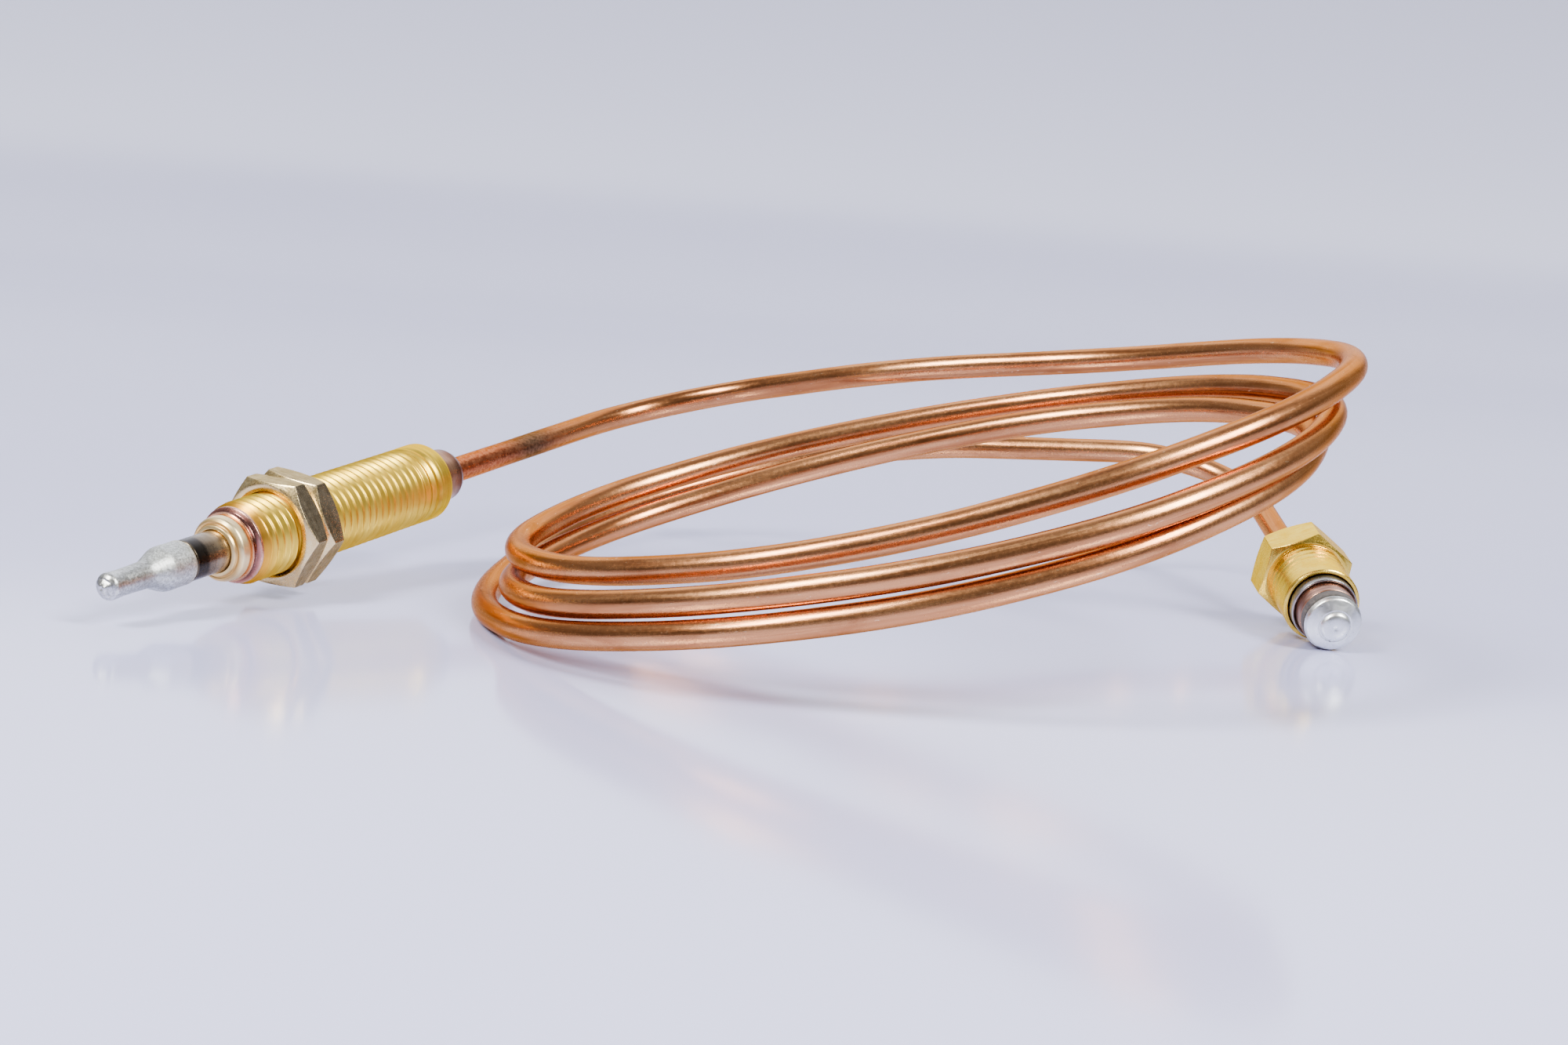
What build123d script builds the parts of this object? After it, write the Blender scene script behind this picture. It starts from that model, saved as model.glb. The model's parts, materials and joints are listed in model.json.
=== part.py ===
from build123d import *

import os
from math import cos, pi, radians, sin, tan

# Thermocouple for a gas boiler. Sizes are in millimetres, angles in degrees, +Z is up.
# Along the probe, heights run from the rear end of the threaded sleeve towards the hot tip.
# Along the connector, heights run from the back of the union nut towards the contact.

# Copper lead
LEAD_RADIUS = 1.3
LEAD_BORE_RADIUS = 0.9
INSULATION_RADIUS = 0.8
INSULATION_BORE_RADIUS = 0.42
CORE_RADIUS = 0.38
COIL_QUARTERS = [
    # radius and height of the lead's centre at each quarter turn: back, right, front, left
    (40.0, 23.0), (40.5, 31.5), (27.0, 15.5), (37.5, 6.5),
    (29.0, 18.5), (38.5, 27.5), (32.5, 13.0), (37.5, 3.5),
    (25.0, 16.5), (37.0, 25.0), (32.5, 10.0), (40.0, 1.0),
    (41.0, 14.5), (39.0, 23.0),
]
CORNERS_PER_QUARTER = 3
ARC_SHARE = 0.45

# Where the lead leaves the probe and where it enters the union nut
PROBE_START = Vector(-45, 27.5, 10.5)
PROBE_AZIMUTH = -118
PROBE_ELEVATION = -7
PROBE_RUN = 37
NUT_START = Vector(43, 32, 6.5)
NUT_AZIMUTH = -84
NUT_ELEVATION = -13
NUT_RUN = 33

# Threaded sleeve, M8 x 1
THREAD_RADIUS = 4.0
SLEEVE_SETBACK = 9.0
SLEEVE_LENGTH = 29.5
SLEEVE_REAR_ROUND = 0.9
SLEEVE_FRONT_CHAMFER = 0.5
SLEEVE_BORE_RADIUS = 2.37
SHEATH_SEAT_DEPTH = 10.0

# Lock nuts
LOCK_NUT_FLATS = 10.0
LOCK_NUT_THICKNESS = 2.5
LOCK_NUT_BORE_RADIUS = 4.05
LOCK_NUT_SINK_RADIUS = 4.65
LOCK_NUT_GAP = 0.03
FRONT_NUT_FACE = 24.8
FRONT_NUT_TURN = 58
REAR_NUT_TURN = 52

# Probe in front of the sleeve
RING_RADIUS = 3.65
RING_GROOVE_RADIUS = 3.25
RING_LENGTH = 1.2
COLLAR_RADIUS = 3.1
COLLAR_LENGTH = 1.7
SHEATH_RADIUS = 2.0
SHEATH_BORE_RADIUS = 1.65
SHEATH_END = 36.8
BULGE_RADIUS = 2.1
NECK_RADIUS = 1.25
NECK_START = 41.9
NOSE_END = 46.9
WELD_RADIUS = 0.85
WELD_HEIGHT = 0.45

# Inside the probe
ELECTRODE_RADIUS = 0.6
ELECTRODE_START = 10.0
ELECTRODE_END = 42.5
CERAMIC_RADIUS = 1.6
FERRULE_RADIUS = 2.7
FERRULE_OUTSIDE = 3.8
FERRULE_INSIDE = 3.5
SPLICE_RADIUS = 1.1
SPLICE_START = 6.5
SPLICE_END = 14.5
SPLICE_COVER_RADIUS = 2.3

# Union nut, hexagon with a male M8 x 1 end
UNION_FLATS = 9.0
UNION_HEX_LENGTH = 4.5
UNION_LENGTH = 11.0
UNION_TURN = 23
UNION_HOLE_RADIUS = 1.45
UNION_BORE_RADIUS = 3.55
UNION_SHOULDER = 3.4

# Contact stack in the union nut
FLARE_RADIUS = 3.1
FLARE_START = 3.6
CUP_START = 5.6
CUP_END = 14.0
CUP_RADIUS = 3.05
CUP_WALL = 0.5
CUP_BASE = 1.0
SEAT_RADIUS = 3.45
SEAT_START = 11.1
SEAT_END = 12.3
WASHER_RADIUS = 3.0
WASHER_END = 14.9
STEM_RADIUS = 0.9
STEM_START = 8.5
BUTTON_RADIUS = 3.0
BUTTON_RIM = 15.5
BUTTON_END = 16.4
BEAD_RADIUS = 1.6
BEAD_HEIGHT = 0.6

FIT = 0.02


def direction(azimuth, elevation):
    level = cos(radians(elevation))
    return Vector(
        level * cos(radians(azimuth)),
        level * sin(radians(azimuth)),
        sin(radians(elevation)),
    )


def axis_location(origin, axis):
    """Local +Z lies along the axis, local +X stays level."""
    return Plane(origin=origin, x_dir=Vector(0, 0, 1).cross(axis), z_dir=axis).location


def turned(*corners):
    """Solid of revolution about Z. A corner is (radius, height) or (radius, height, rounding)."""
    points = [(corner[0], corner[1]) for corner in corners]
    roundings = [corner[2] if len(corner) > 2 else 0 for corner in corners]
    profile = FilletPolyline(*points, radius=roundings, close=True)
    return revolve(Plane.XZ * make_face(profile), axis=Axis.Z)


def tube(outer, inner, start, end):
    return turned((inner, start), (outer, start), (outer, end), (inner, end))


def chamfered_hexagon(flats, start, end, front_chamfered):
    """Hexagonal prism with its corners turned off at 30 degrees."""
    corner_radius = flats / (2 * cos(pi / 6))
    drop = (corner_radius + 0.5 - 0.48 * flats) * tan(radians(30))
    prism = Pos(0, 0, start) * extrude(RegularPolygon(corner_radius, 6), end - start)
    envelope = [
        (0, start),
        (0.48 * flats, start),
        (corner_radius + 0.5, start + drop),
        (corner_radius + 0.5, end),
        (0, end),
    ]
    if front_chamfered:
        envelope[3] = (corner_radius + 0.5, end - drop)
        envelope.insert(4, (0.48 * flats, end))
    return prism & turned(*envelope)


def along_quarters(values, position):
    """Smooth value between quarter turns, passing through each of them."""
    index = min(int(position), len(values) - 2)
    t = position - index
    before = values[max(index - 1, 0)]
    here = values[index]
    after = values[index + 1]
    beyond = values[min(index + 2, len(values) - 1)]
    return 0.5 * (
        2 * here
        + (after - before) * t
        + (2 * before - 5 * here + 4 * after - beyond) * t**2
        + (3 * here - 3 * after + beyond - before) * t**3
    )


def coil_corners():
    """Corners of the coil, which turns clockwise seen from above, starting at the back."""
    step = 90 / CORNERS_PER_QUARTER
    radii = [quarter[0] for quarter in COIL_QUARTERS]
    heights = [quarter[1] for quarter in COIL_QUARTERS]
    count = (len(COIL_QUARTERS) - 2) * CORNERS_PER_QUARTER + 1
    corners = []
    for number in range(count):
        position = number / CORNERS_PER_QUARTER
        radius = along_quarters(radii, position) / cos(radians(step / 2))
        angle = radians(90 - step * number)
        height = along_quarters(heights, position)
        corners.append(Vector(radius * cos(angle), radius * sin(angle), height))
    return corners


probe_axis = direction(PROBE_AZIMUTH, PROBE_ELEVATION)
nut_axis = direction(NUT_AZIMUTH, NUT_ELEVATION)
sleeve_rear = PROBE_START + probe_axis * SLEEVE_SETBACK

lead_points = [PROBE_START, PROBE_START - probe_axis * PROBE_RUN]
lead_points += coil_corners()
lead_points += [NUT_START - nut_axis * NUT_RUN, NUT_START]
lead_radii = []
for before, corner, after in zip(lead_points, lead_points[1:], lead_points[2:]):
    arriving = corner - before
    leaving = after - corner
    half_turn = radians(arriving.get_angle(leaving)) / 2
    shorter = min(arriving.length, leaving.length)
    lead_radii.append(ARC_SHARE * shorter / tan(half_turn))


def lead_layer(outer, inner, probe_end, nut_end):
    """One layer of the lead, from a height along the probe to one along the connector."""
    points = list(lead_points)
    points[0] = sleeve_rear + probe_axis * probe_end
    points[-1] = NUT_START + nut_axis * nut_end
    path = FilletPolyline(*points, radius=lead_radii)
    section = Circle(outer)
    if inner:
        section -= Circle(inner)
    layer = sweep(Plane(origin=path @ 0, z_dir=path % 0) * section, path=path)
    expected = pi * (outer**2 - inner**2) * path.length
    print(f"layer {outer}: length {path.length:.1f}, volume {layer.volume / expected:.4f} of expected")
    return layer


# Probe, built upright
sleeve_seat = SLEEVE_LENGTH - SHEATH_SEAT_DEPTH
threaded_sleeve = turned(
    (SLEEVE_BORE_RADIUS, 0),
    (THREAD_RADIUS, 0, SLEEVE_REAR_ROUND),
    (THREAD_RADIUS, SLEEVE_LENGTH - SLEEVE_FRONT_CHAMFER),
    (THREAD_RADIUS - SLEEVE_FRONT_CHAMFER, SLEEVE_LENGTH),
    (SHEATH_RADIUS + FIT, SLEEVE_LENGTH),
    (SHEATH_RADIUS + FIT, sleeve_seat),
    (SLEEVE_BORE_RADIUS, sleeve_seat),
)

ring_end = SLEEVE_LENGTH + RING_LENGTH
collar_ring = turned(
    (SHEATH_RADIUS + FIT, SLEEVE_LENGTH),
    (RING_RADIUS - 0.15, SLEEVE_LENGTH),
    (RING_RADIUS, SLEEVE_LENGTH + 0.15),
    (RING_RADIUS, SLEEVE_LENGTH + 0.35, 0.08),
    (RING_GROOVE_RADIUS, SLEEVE_LENGTH + 0.6, 0.15),
    (RING_GROOVE_RADIUS, SLEEVE_LENGTH + 0.85, 0.15),
    (RING_RADIUS - 0.3, ring_end - 0.1, 0.08),
    (RING_RADIUS - 0.4, ring_end),
    (SHEATH_RADIUS + FIT, ring_end),
)

collar_end = ring_end + COLLAR_LENGTH
braze_collar = turned(
    (SHEATH_RADIUS + FIT, ring_end),
    (COLLAR_RADIUS, ring_end),
    (COLLAR_RADIUS, ring_end + 0.9, 0.5),
    (SHEATH_RADIUS + 0.45, collar_end, 0.2),
    (SHEATH_RADIUS + FIT, collar_end),
)

element_sheath = tube(SHEATH_RADIUS, SHEATH_BORE_RADIUS, sleeve_seat + 0.5, SHEATH_END)

hot_tip = turned(
    (SHEATH_BORE_RADIUS, SHEATH_END),
    (SHEATH_RADIUS - 0.1, SHEATH_END),
    (BULGE_RADIUS, SHEATH_END + 0.3, 0.25),
    (BULGE_RADIUS, SHEATH_END + 3.2, 2.0),
    (NECK_RADIUS, NECK_START, 2.5),
    (NECK_RADIUS - 0.08, NOSE_END, 0.5),
    (0, NOSE_END),
    (0, ELECTRODE_END),
    (ELECTRODE_RADIUS + FIT, ELECTRODE_END),
    (ELECTRODE_RADIUS + FIT, SHEATH_END + 4.7),
    (SHEATH_BORE_RADIUS, SHEATH_END + 2.5),
)

weld_ball = (WELD_RADIUS**2 + WELD_HEIGHT**2) / (2 * WELD_HEIGHT)
tip_weld = Pos(0, 0, NOSE_END + WELD_HEIGHT - weld_ball) * Sphere(weld_ball)
tip_weld = split(tip_weld, bisect_by=Plane.XY.offset(NOSE_END), keep=Keep.TOP)

electrode_insulator = tube(
    CERAMIC_RADIUS, ELECTRODE_RADIUS + 0.05, sleeve_seat + 0.5, SHEATH_END + 2.3
)
inner_electrode = turned(
    (0, ELECTRODE_START),
    (ELECTRODE_RADIUS, ELECTRODE_START),
    (ELECTRODE_RADIUS, ELECTRODE_END),
    (0, ELECTRODE_END),
)

rear_ferrule = turned(
    (LEAD_RADIUS + FIT, -FERRULE_OUTSIDE),
    (FERRULE_RADIUS - 0.35, -FERRULE_OUTSIDE, 0.15),
    (FERRULE_RADIUS, -FERRULE_OUTSIDE + 0.7, 0.4),
    (FERRULE_RADIUS, 0),
    (SLEEVE_BORE_RADIUS - FIT, 0),
    (SLEEVE_BORE_RADIUS - FIT, FERRULE_INSIDE),
    (LEAD_RADIUS + FIT, FERRULE_INSIDE),
)

splice_barrel = turned(
    (INSULATION_BORE_RADIUS, SPLICE_START),
    (SPLICE_RADIUS, SPLICE_START, 0.2),
    (SPLICE_RADIUS, SPLICE_END, 0.2),
    (ELECTRODE_RADIUS + FIT, SPLICE_END),
    (ELECTRODE_RADIUS + FIT, ELECTRODE_START),
    (INSULATION_BORE_RADIUS, ELECTRODE_START),
)
splice_insulator = tube(SPLICE_COVER_RADIUS, SPLICE_RADIUS + FIT, SPLICE_START - 1, sleeve_seat - 0.5)


def lock_nut(face, turn):
    """Thin hexagon nut with its front face at a height along the probe."""
    back = face - LOCK_NUT_THICKNESS
    sink = LOCK_NUT_SINK_RADIUS - LOCK_NUT_BORE_RADIUS
    hole = turned(
        (0, back),
        (LOCK_NUT_SINK_RADIUS, back),
        (LOCK_NUT_BORE_RADIUS, back + sink),
        (LOCK_NUT_BORE_RADIUS, face - sink),
        (LOCK_NUT_SINK_RADIUS, face),
        (0, face),
    )
    return Rot(0, 0, turn) * (chamfered_hexagon(LOCK_NUT_FLATS, back, face, True) - hole)


front_lock_nut = lock_nut(FRONT_NUT_FACE, FRONT_NUT_TURN)
rear_lock_nut = lock_nut(FRONT_NUT_FACE - LOCK_NUT_THICKNESS - LOCK_NUT_GAP, REAR_NUT_TURN)

# Connector, built upright
union_nut = chamfered_hexagon(UNION_FLATS, 0, UNION_HEX_LENGTH, True)
union_nut += turned(
    (0, UNION_HEX_LENGTH - 1),
    (THREAD_RADIUS, UNION_HEX_LENGTH - 1),
    (THREAD_RADIUS, UNION_LENGTH, 0.25),
    (0, UNION_LENGTH),
)
union_nut -= turned(
    (0, 0),
    (UNION_HOLE_RADIUS + 0.3, 0),
    (UNION_HOLE_RADIUS, 0.3),
    (UNION_HOLE_RADIUS, UNION_SHOULDER),
    (UNION_BORE_RADIUS, UNION_SHOULDER),
    (UNION_BORE_RADIUS, UNION_LENGTH),
    (0, UNION_LENGTH),
)
union_nut = Rot(0, 0, UNION_TURN) * union_nut

flare_collar = turned(
    (LEAD_RADIUS + FIT, FLARE_START),
    (FLARE_RADIUS, FLARE_START, 0.2),
    (FLARE_RADIUS, CUP_START),
    (LEAD_RADIUS + FIT, CUP_START),
)
cup_bore_radius = CUP_RADIUS - CUP_WALL
copper_cup = turned(
    (INSULATION_RADIUS + FIT, CUP_START),
    (CUP_RADIUS, CUP_START),
    (CUP_RADIUS, CUP_END, 0.15),
    (cup_bore_radius, CUP_END),
    (cup_bore_radius, CUP_START + CUP_BASE),
    (INSULATION_RADIUS + FIT, CUP_START + CUP_BASE),
)
insulating_bush = tube(
    cup_bore_radius - FIT, STEM_RADIUS + FIT, CUP_START + CUP_BASE, CUP_END
)
seat_ring = turned(
    (CUP_RADIUS + FIT, SEAT_START),
    (SEAT_RADIUS, SEAT_START),
    (SEAT_RADIUS, SEAT_END, 0.12),
    (CUP_RADIUS + FIT, SEAT_END, 0.12),
)
insulating_washer = tube(WASHER_RADIUS, STEM_RADIUS + FIT, CUP_END, WASHER_END)
contact_button = turned(
    (0, STEM_START),
    (STEM_RADIUS, STEM_START),
    (STEM_RADIUS, WASHER_END),
    (BUTTON_RADIUS - 0.35, WASHER_END),
    (BUTTON_RADIUS, BUTTON_RIM - 0.1, 0.15),
    (BUTTON_RADIUS - 0.25, BUTTON_RIM + 0.3, 0.4),
    (BEAD_RADIUS + 0.1, BUTTON_END),
    (0, BUTTON_END),
)
bead_ball = (BEAD_RADIUS**2 + BEAD_HEIGHT**2) / (2 * BEAD_HEIGHT)
solder_bead = Pos(0, 0, BUTTON_END + BEAD_HEIGHT - bead_ball) * Sphere(bead_ball)
solder_bead = split(solder_bead, bisect_by=Plane.XY.offset(BUTTON_END), keep=Keep.TOP)

# Assembly
on_probe = axis_location(sleeve_rear, probe_axis)
on_nut = axis_location(NUT_START, nut_axis)
nodes = {
    "hot_tip": on_probe * hot_tip,
    "tip_weld": on_probe * tip_weld,
    "element_sheath": on_probe * element_sheath,
    "electrode_insulator": on_probe * electrode_insulator,
    "inner_electrode": on_probe * inner_electrode,
    "braze_collar": on_probe * braze_collar,
    "collar_ring": on_probe * collar_ring,
    "threaded_sleeve": on_probe * threaded_sleeve,
    "front_lock_nut": on_probe * front_lock_nut,
    "rear_lock_nut": on_probe * rear_lock_nut,
    "rear_ferrule": on_probe * rear_ferrule,
    "splice_barrel": on_probe * splice_barrel,
    "splice_insulator": on_probe * splice_insulator,
    "copper_lead": lead_layer(LEAD_RADIUS, LEAD_BORE_RADIUS, FERRULE_INSIDE, CUP_START),
    "lead_insulation": lead_layer(
        INSULATION_RADIUS, INSULATION_BORE_RADIUS, SPLICE_START - 0.5, CUP_START + CUP_BASE
    ),
    "lead_core": lead_layer(CORE_RADIUS, 0, ELECTRODE_START, STEM_START),
    "union_nut": on_nut * union_nut,
    "flare_collar": on_nut * flare_collar,
    "copper_cup": on_nut * copper_cup,
    "insulating_bush": on_nut * insulating_bush,
    "seat_ring": on_nut * seat_ring,
    "insulating_washer": on_nut * insulating_washer,
    "contact_button": on_nut * contact_button,
    "solder_bead": on_nut * solder_bead,
}

# The origin is under the middle of the whole part, at its lowest point
whole = Compound(children=[node.moved(Location()) for node in nodes.values()]).bounding_box()
shift = Vector(-whole.center().X, -whole.center().Y, -whole.min.Z)
print(f"size {whole.size.X:.2f} x {whole.size.Y:.2f} x {whole.size.Z:.2f}")
print(f"shift {shift.X:.3f} {shift.Y:.3f} {shift.Z:.3f}")
print(f"arc radii {min(lead_radii):.1f} to {max(lead_radii):.1f}")

os.makedirs("parts", exist_ok=True)
for name, node in nodes.items():
    export_step(Pos(shift) * node, f"parts/{name}.step")
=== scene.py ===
import json
from math import acos, cos, exp, floor, pi, radians, sin, sqrt, tan

import bmesh
import bpy
import numpy as np
from mathutils import Matrix, Vector


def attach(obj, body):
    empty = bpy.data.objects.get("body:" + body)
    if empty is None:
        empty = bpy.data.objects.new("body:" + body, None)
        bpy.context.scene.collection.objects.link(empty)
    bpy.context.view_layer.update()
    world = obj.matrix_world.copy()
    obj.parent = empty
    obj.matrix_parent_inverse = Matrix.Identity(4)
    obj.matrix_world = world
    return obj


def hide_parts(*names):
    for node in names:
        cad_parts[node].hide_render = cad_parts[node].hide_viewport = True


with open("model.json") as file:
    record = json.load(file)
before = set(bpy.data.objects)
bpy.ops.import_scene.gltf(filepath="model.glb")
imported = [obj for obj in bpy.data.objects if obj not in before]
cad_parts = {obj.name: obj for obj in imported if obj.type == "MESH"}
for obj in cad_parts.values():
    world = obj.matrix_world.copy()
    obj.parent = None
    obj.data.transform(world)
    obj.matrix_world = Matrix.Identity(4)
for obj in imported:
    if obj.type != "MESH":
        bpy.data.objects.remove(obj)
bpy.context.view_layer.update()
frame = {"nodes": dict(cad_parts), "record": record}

MM = 0.001
record = frame["record"]
ROOT = "thermocouple"


# ---------------------------------------------------------------- places taken from the record
def mount(name):
    return next(m for m in record["mounts"] if m["name"] == name)


def along(name, height, at):
    """Point on a mount's axis at a height along it in mm, where the mount itself is at height at."""
    m = mount(name)
    return Vector(m["pos_m"]) + Vector(m["axis"]) * (height - at) * MM


def axis_matrix(origin, axis):
    """Local +Z along the axis and local +X level, as in the CAD."""
    z = Vector(axis).normalized()
    x = Vector((0, 0, 1)).cross(z).normalized()
    y = z.cross(x)
    return Matrix.Translation(origin) @ Matrix((x, y, z)).transposed().to_4x4()


PROBE_AXIS = Vector(mount("sleeve_thread")["axis"])
NUT_AXIS = Vector(mount("union_thread")["axis"])
# Heights along the probe are measured in mm from PROBE_ZERO, which is 4.5 mm behind the sleeve's rear end.
PROBE_ZERO = along("sleeve_thread", 0, 31.4)
NUT_REAR = along("union_thread", 0, 7.6)
ON_PROBE = axis_matrix(PROBE_ZERO, PROBE_AXIS)
ON_NUT = axis_matrix(NUT_REAR, NUT_AXIS)


# ---------------------------------------------------------------- mesh helpers
def add_piece(name, bm, place, body, nodes, material, sharp=32):
    """Turns a bmesh in mm, in its own axes, into a piece that rides on a body.

    The piece's own coordinates stay in its "local" attribute, which the materials read.
    """
    bmesh.ops.recalc_face_normals(bm, faces=bm.faces)
    for face in bm.faces:
        face.smooth = True
    for edge in bm.edges:
        if len(edge.link_faces) == 2 and edge.calc_face_angle(0) > radians(sharp):
            edge.smooth = False
    own = np.array([v.co[:] for v in bm.verts], dtype=np.float32)
    bm.transform(place @ Matrix.Scale(MM, 4))
    mesh = bpy.data.meshes.new(name)
    bm.to_mesh(mesh)
    bm.free()
    mesh.attributes.new("local", "FLOAT_VECTOR", "POINT")
    mesh.attributes["local"].data.foreach_set("vector", own.ravel())
    piece = bpy.data.objects.new(name, mesh)
    bpy.context.scene.collection.objects.link(piece)
    mesh.materials.append(material)
    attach(piece, body)
    if nodes:
        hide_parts(*nodes)
    return piece


def rounded(corners, arc_steps=5):
    """Profile points (radius, height) with each corner's third number as its rounding."""
    points = []
    count = len(corners)
    for i, corner in enumerate(corners):
        rounding = corner[2] if len(corner) > 2 else 0
        here = Vector(corner[:2])
        if rounding <= 0 or i in (0, count - 1):
            points.append(here)
            continue
        back = Vector(corners[i - 1][:2]) - here
        ahead = Vector(corners[i + 1][:2]) - here
        half = back.angle(ahead) / 2
        reach = min(rounding / tan(half), 0.49 * back.length, 0.49 * ahead.length)
        radius = reach * tan(half)
        start = here + back.normalized() * reach
        end = here + ahead.normalized() * reach
        centre = here + (back.normalized() + ahead.normalized()).normalized() * radius / sin(half)
        a = start - centre
        b = end - centre
        for k in range(arc_steps + 1):
            t = k / arc_steps
            p = a * (1 - t) + b * t
            points.append(centre + p.normalized() * radius)
    return points


def densify(points, step):
    """Adds points so that no stretch of the profile is longer than step."""
    out = [points[0]]
    for a, b in zip(points, points[1:]):
        n = max(1, int((b - a).length / step + 0.999))
        for k in range(1, n + 1):
            out.append(a.lerp(b, k / n))
    return out


def skin(rings, closed_round=True, marks=None):
    """Bmesh from rings of points, each ring joined to the next. marks gives each ring's "rim" value."""
    bm = bmesh.new()
    rim = bm.verts.layers.float.new("rim") if marks else None
    grid = [[bm.verts.new(p) for p in ring] for ring in rings]
    if marks:
        for row, mark in zip(grid, marks):
            for vert in row:
                vert[rim] = mark
    for low, high in zip(grid, grid[1:]):
        n = len(low)
        for k in range(n if closed_round else n - 1):
            m = (k + 1) % n
            bm.faces.new((low[k], low[m], high[m], high[k]))
    return bm


def lathe(profile, segments=96, radius_of=None):
    """Turned solid from a closed run of profile points; radius_of(r, z, angle) may vary the radius."""
    rings = []
    for p in profile:
        ring = []
        for k in range(segments):
            angle = 2 * pi * k / segments
            r = p.x if radius_of is None else radius_of(p.x, p.y, angle)
            ring.append((r * cos(angle), r * sin(angle), p.y))
        rings.append(ring)
    bm = skin(rings)
    bmesh.ops.remove_doubles(bm, verts=bm.verts, dist=1e-5)
    bmesh.ops.dissolve_degenerate(bm, edges=bm.edges, dist=1e-6)
    return bm


# ---------------------------------------------------------------- materials
class Nodes:
    """Short ways to add and join shader nodes."""

    def __init__(self, name, metallic=1.0, roughness=0.3):
        self.material = bpy.data.materials.new(name)
        self.material.use_nodes = True
        self.tree = self.material.node_tree
        self.shader = self.tree.nodes["Principled BSDF"]
        self.shader.inputs["Metallic"].default_value = metallic
        self.shader.inputs["Roughness"].default_value = roughness

    def link(self, source, target):
        self.tree.links.new(source, target)

    def attribute(self, name):
        node = self.tree.nodes.new("ShaderNodeAttribute")
        node.attribute_name = name
        return node.outputs

    def coords(self, scale=(1, 1, 1), source="local"):
        """Coordinates in mm stretched by scale, from an attribute or from the object."""
        if source == "object":
            output = self.tree.nodes.new("ShaderNodeTexCoord").outputs["Object"]
            factor = tuple(1000 * s for s in scale)
        else:
            output = self.attribute(source)["Vector"]
            factor = scale
        mapping = self.tree.nodes.new("ShaderNodeMapping")
        mapping.inputs["Scale"].default_value = factor
        self.link(output, mapping.inputs["Vector"])
        return mapping.outputs["Vector"]

    def noise(self, vector, scale, detail=4.0, rough=0.55, distortion=0.0):
        node = self.tree.nodes.new("ShaderNodeTexNoise")
        self.link(vector, node.inputs["Vector"])
        node.inputs["Scale"].default_value = scale
        node.inputs["Detail"].default_value = detail
        node.inputs["Roughness"].default_value = rough
        node.inputs["Distortion"].default_value = distortion
        return node.outputs["Fac"]

    def ramp(self, value, *stops):
        """stops are (position, number) or (position, (r, g, b))."""
        node = self.tree.nodes.new("ShaderNodeValToRGB")
        elements = node.color_ramp.elements
        while len(elements) < len(stops):
            elements.new(0.5)
        for element, (position, level) in zip(elements, stops):
            element.position = position
            colour = level if isinstance(level, tuple) else (level, level, level)
            element.color = (*colour, 1)
        self.link(value, node.inputs["Fac"])
        return node.outputs["Color"]

    def math(self, operation, a, b=0.0, clamp=False):
        node = self.tree.nodes.new("ShaderNodeMath")
        node.operation = operation
        node.use_clamp = clamp
        for value, target in ((a, node.inputs[0]), (b, node.inputs[1])):
            if isinstance(value, bpy.types.NodeSocket):
                self.link(value, target)
            else:
                target.default_value = value
        return node.outputs["Value"]

    def mix(self, factor, a, b, blend="MIX"):
        node = self.tree.nodes.new("ShaderNodeMix")
        node.data_type = "RGBA"
        node.blend_type = blend
        for value, target in ((factor, node.inputs[0]), (a, node.inputs[6]), (b, node.inputs[7])):
            if isinstance(value, bpy.types.NodeSocket):
                self.link(value, target)
            elif isinstance(value, tuple):
                target.default_value = (*value, 1)
            else:
                target.default_value = value
        return node.outputs[2]

    def split(self, vector):
        node = self.tree.nodes.new("ShaderNodeSeparateXYZ")
        self.link(vector, node.inputs["Vector"])
        return node.outputs

    def share(self, start, end):
        """How far the point is along the piece's own axis, 0 at start and 1 at end, both in mm."""
        height = self.split(self.attribute("local")["Vector"])["Z"]
        return self.math("DIVIDE", self.math("SUBTRACT", height, start), end - start, clamp=True)

    def edge(self, *tint):
        """Colour of the metal's reflection at grazing angles."""
        self.shader.inputs["Specular Tint"].default_value = (*tint, 1)

    def bump(self, *layers):
        """layers are (height socket, strength, distance in mm)."""
        normal = None
        for height, strength, distance in layers:
            node = self.tree.nodes.new("ShaderNodeBump")
            node.inputs["Strength"].default_value = strength
            node.inputs["Distance"].default_value = distance * MM
            self.link(height, node.inputs["Height"])
            if normal is not None:
                self.link(normal, node.inputs["Normal"])
            normal = node.outputs["Normal"]
        self.link(normal, self.shader.inputs["Normal"])

    def colour(self, value):
        self.link(value, self.shader.inputs["Base Color"])

    def roughness(self, value):
        self.link(value, self.shader.inputs["Roughness"])


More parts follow.
